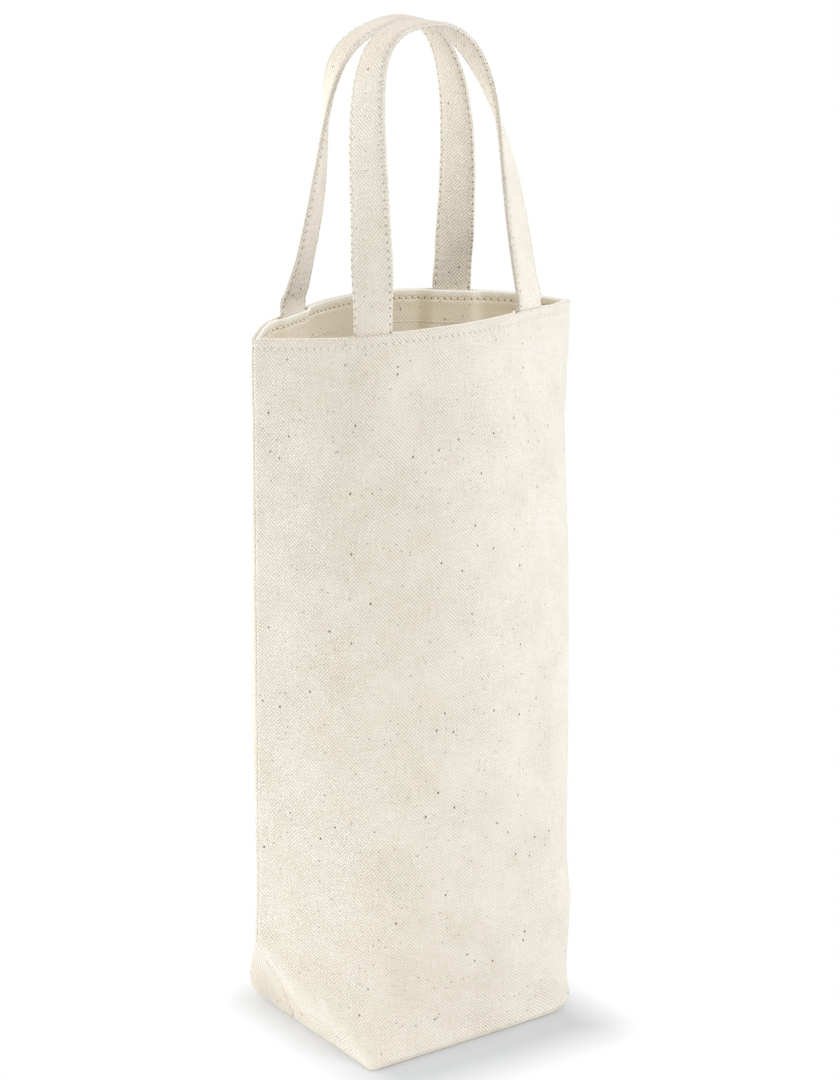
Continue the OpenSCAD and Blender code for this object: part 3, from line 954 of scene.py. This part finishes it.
# overlocked seam allowances inside the bag
seamSet = {
    "width": 8.0, "thick": 1.6, "start": 4.5, "step": 1.2, "wave": 0.25, "sway": 0.35,
    "clear": 0.95, "loopPitch": 2.4, "needle": 3.4, "loopEnd": 8.1, "loopRim": 8.15,
    "loopLean": 1.1,
}
seamRing = [(0, -0.5), (0.3, -0.95), (2, -1), (4, -0.95), (6, -0.95), (7.4, -0.85), (7.9, -0.5),
            (8, 0)]
seamRing = seamRing + [(c, -h) for c, h in seamRing[-2::-1]] + [seamRing[0]]


def allowance(node, origin, across, upward, count):
    # a strip of two layers: origin(k) is its root, across and upward its width and thickness
    ring = np.array(seamRing)
    around = runLength(ring)
    rows, uvs = [], []
    seed = sum(ord(letter) for letter in node) % 17
    for k in range(count):
        root, wide, thick = origin(k), across(k), upward(k)
        wave = seamSet["wave"] * noise.noise(Vector((k * 0.21, seed, 0)))
        sway = seamSet["sway"] * noise.noise(Vector((k * 0.12, seed, 9)))
        c = ring[:, 0] * (1 + wave / 8)
        h = ring[:, 1] * seamSet["thick"] / 2
        bend = sway * (c / 8) ** 2 * min(1, k / 6, (count - 1 - k) / 6)
        rows.append(root + np.outer(c, wide) + np.outer(h + bend, thick))
        uvs.append(np.column_stack([around, np.full(len(ring), k * seamSet["step"])]))
    piece = clothGrid(node + "_cloth", rows, uvs, seamTwill, fillEnds=True)
    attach(piece, "bag")
    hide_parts(node)
    dice = random.Random(seed)
    bm = startThreads()
    length = (count - 1) * seamSet["step"]
    for k in range(int(length / seamSet["loopPitch"])):
        at = (k + 0.5) * seamSet["loopPitch"] / seamSet["step"]
        i = int(at)
        root, wide, thick = origin(i), across(i), upward(i)
        step = (origin(min(i + 1, count - 1)) - origin(max(i - 1, 0)))
        step = step / max(np.linalg.norm(step), 1e-6)
        root = root + step * (at - i) * seamSet["step"]
        half = seamSet["thick"] / 2 + 0.1
        lean = step * seamSet["loopLean"]
        for face in (-1, 1):
            near = root + wide * seamSet["needle"] + thick * face * half
            far = root + wide * seamSet["loopEnd"] + thick * face * half * 0.7 + lean
            addStitch(bm, near, far, thick * face, threadSet["overlock"], dice)
            chain = near + step * seamSet["loopPitch"] * 0.9
            addStitch(bm, near, chain, thick * face, threadSet["overlock"], dice)
        low = root + wide * seamSet["loopRim"] - thick * half * 0.9 + lean
        high = root + wide * seamSet["loopRim"] + thick * half * 0.9 + lean
        addStitch(bm, low, high, wide, threadSet["overlock"], dice)
    threads = finishThreads(bm, node + "_overlock")
    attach(threads, "bag")
    return piece


def makeSideSeam(node, end):
    top = bagSet["height"] - facingSet["depth"] - bagSet["gap"]
    into = 1 if end == 0 else -1
    q = np.linspace(0, 14, 57) if end == 0 else bagSet["panelWidth"] - np.linspace(0, 14, 57)
    count = int((top - seamSet["start"]) / seamSet["step"]) + 1
    heights = np.linspace(seamSet["start"], top, count)

    def root(k):
        z = heights[k]
        at = []
        for side in (front, back):
            inner = onPanel(side, q, z, bagSet["cloth"], rise=False)
            at.append(np.interp(seamSet["clear"], np.abs(inner[:, 1]), inner[:, 0] * into))
        return np.array([into * max(at), 0, z])

    roots = [root(k) for k in range(count)]
    wide = np.array((into, 0, 0))
    thick = np.array((0, -into, 0))
    return allowance(node, lambda k: roots[k], lambda k: wide, lambda k: thick, count)


def makeFlatSeam(node, start, end, wide):
    start, end, wide = np.array(start, float), np.array(end, float), np.array(wide, float)
    count = int(np.linalg.norm(end - start) / seamSet["step"]) + 1
    thick = np.array((0, 0, 1.0))
    return allowance(node, lambda k: lerp(start, end, k / (count - 1)),
                     lambda k: wide, lambda k: thick, count)


makeSideSeam("left_side_seam", 0)
makeSideSeam("right_side_seam", 1)
seamLevel = bagSet["cloth"] + bagSet["gap"] + seamSet["thick"] / 2
edgeX = bagSet["baseWidth"] / 2 - bagSet["foldRadius"]
reachY = bagSet["baseDepth"] / 2 - 2 * bagSet["foldRadius"]
reachX = edgeX - seamSet["width"] - 0.4
makeFlatSeam("base_seam", (-reachX, 0, seamLevel), (reachX, 0, seamLevel), (0, 1, 0))
makeFlatSeam("left_corner_seam", (-edgeX, -reachY, seamLevel), (-edgeX, reachY, seamLevel),
             (1, 0, 0))
makeFlatSeam("right_corner_seam", (edgeX, reachY, seamLevel), (edgeX, -reachY, seamLevel),
             (-1, 0, 0))
print("seam allowances made")

# in mm, the paper lies "drop" under the base and lets rays shorter than "open" through
# the camera sees the paper darker than the light it bounces, so near the base, over a box shifted
# toward the front, it shows painted shade on top of the lamps' real shadows, fading into white glow
# further out
roomSet = {
    "floor": "#F4F4F4", "shownFloorShade": "#D6D7DA", "world": 0.6, "sky": (1, 0.966, 0.885, 1),
    "size": 6.0, "drop": 0.1, "open": 1.2,
    "far": 0.022, "shift": (0, 0.012, 0), "base": (0.0405, 0.041, 0),
}
white = (1, 1, 1, 1)


def makeWorld():
    # pale light from all sides; seen directly or in a reflection, the world is plain white
    scene.world = bpy.data.worlds.new("pale studio")
    scene.world.use_nodes = True
    tree = scene.world.node_tree
    tree.nodes.clear()
    path = addNode(tree, "ShaderNodeLightPath").outputs
    seen = calc(tree, "MAXIMUM", path["Is Camera Ray"], path["Is Glossy Ray"])
    seen = calc(tree, "MAXIMUM", seen, path["Is Transmission Ray"])
    inputs = {"Color": mixColour(tree, seen, roomSet["sky"], white),
              "Strength": remap(tree, seen, 0.0, 1.0, roomSet["world"], 1.0)}
    sky = addNode(tree, "ShaderNodeBackground", inputs)
    addNode(tree, "ShaderNodeOutputWorld", {"Surface": sky.outputs[0]})


def makeFloor():
    # seen by the camera, the paper glows more the further it is from the base, so it is plain white
    # further out; near the base it is shown darker, a painted shadow round the base over the lamps'
    # own shadows
    material, tree = newMaterial("white studio paper")
    path = addNode(tree, "ShaderNodeLightPath").outputs
    spot = addNode(tree, "ShaderNodeTexCoord").outputs["Object"]
    # the box round the base is shifted toward the front, so the painted shadow reaches further in
    # front of the bag
    beside = calcVector(tree, "ABSOLUTE", calcVector(tree, "ADD", spot, roomSet["shift"]))
    beside = calcVector(tree, "SUBTRACT", beside, roomSet["base"])
    beside = calcVector(tree, "MAXIMUM", beside, (0, 0, 0))
    away = remap(tree, calcVector(tree, "LENGTH", beside), 0.0, roomSet["far"])
    tones = [hexColour(roomSet[tone]) for tone in ("floor", "shownFloorShade")]
    tone = mixColour(tree, path["Is Camera Ray"], *tones)
    paper = addNode(tree, "ShaderNodeBsdfDiffuse", {"Color": tone})
    glow = addNode(tree, "ShaderNodeEmission", {"Color": white, "Strength": 1.0})
    share = calc(tree, "MULTIPLY", away, path["Is Camera Ray"])
    inputs = {0: share, 1: paper.outputs[0], 2: glow.outputs[0]}
    both = addNode(tree, "ShaderNodeMixShader", inputs)
    # the paper is open from below, so that the underside of the bag can be looked at
    geometry = addNode(tree, "ShaderNodeNewGeometry").outputs
    close = calc(tree, "LESS_THAN", path["Ray Length"], roomSet["open"] * mm)
    clear = addNode(tree, "ShaderNodeBsdfTransparent")
    share = calc(tree, "MAXIMUM", geometry["Backfacing"], close)
    inputs = {0: share, 1: both.outputs[0], 2: clear.outputs[0]}
    whole = addNode(tree, "ShaderNodeMixShader", inputs)
    addNode(tree, "ShaderNodeOutputMaterial", {"Surface": whole.outputs[0]})
    bm = bmesh.new()
    bmesh.ops.create_grid(bm, x_segments=2, y_segments=2, size=roomSet["size"])
    bmesh.ops.translate(bm, verts=bm.verts, vec=(0, 0, -roomSet["drop"] * mm))
    floor = finishPiece(bm, "floor", material)
    if floor.data.polygons[0].normal.z < 0:
        floor.data.flip_normals()


# place and size in metres, watts, colour; all point at the bag, the foot lamps along the floor
lampSet = {
    "front right lamp": ((0.87, -1.06, 1.3), 0.9, 13.0, (0.9, 0.98, 1.11)),
    "low front lamp": ((1.0, -1.0, 0.4), 0.9, 1.5, (0.85, 0.93, 1)),
    "low left lamp": ((-1.25, 0.3, 0.08), 0.9, 9.0, (0.8, 0.93, 1.06)),
    "low right lamp": ((1.25, -0.2, 0.08), 0.9, 4.0, (0.78, 0.92, 1)),
    "back left lamp": ((-0.6, 1.2, 0.5), 0.9, 6.5, (1, 1, 0.98)),
    "high left lamp": ((-0.9, 0.3, 1.5), 0.9, 1.5, (1, 1, 1)),
    "high back lamp": ((0.0, 1.3, 1.3), 0.9, 3.5, (1, 0.91, 0.73)),
    "left foot lamp": ((-0.25, -0.12, 0.03), 0.05, 0.07, (0.95, 1, 1)),
    "right foot lamp": ((0.12, -0.28, 0.03), 0.05, 0.03, (0.95, 1, 1)),
}


def makeLamps():
    for name, (place, size, power, colour) in lampSet.items():
        data = bpy.data.lights.new(name, "AREA")
        data.shape = "DISK"
        data.size = size
        data.energy = power
        data.color = colour
        holder = bpy.data.objects.new(name, data)
        holder.location = place
        holder.visible_camera = False
        aim = Vector((0, 0, min(0.15, place[2]))) - Vector(place)
        holder.rotation_euler = aim.to_track_quat("-Z", "Y").to_euler()
        scene.collection.objects.link(holder)


makeWorld()
makeFloor()
makeLamps()
print("studio made")

scene.view_settings.view_transform = "Standard"
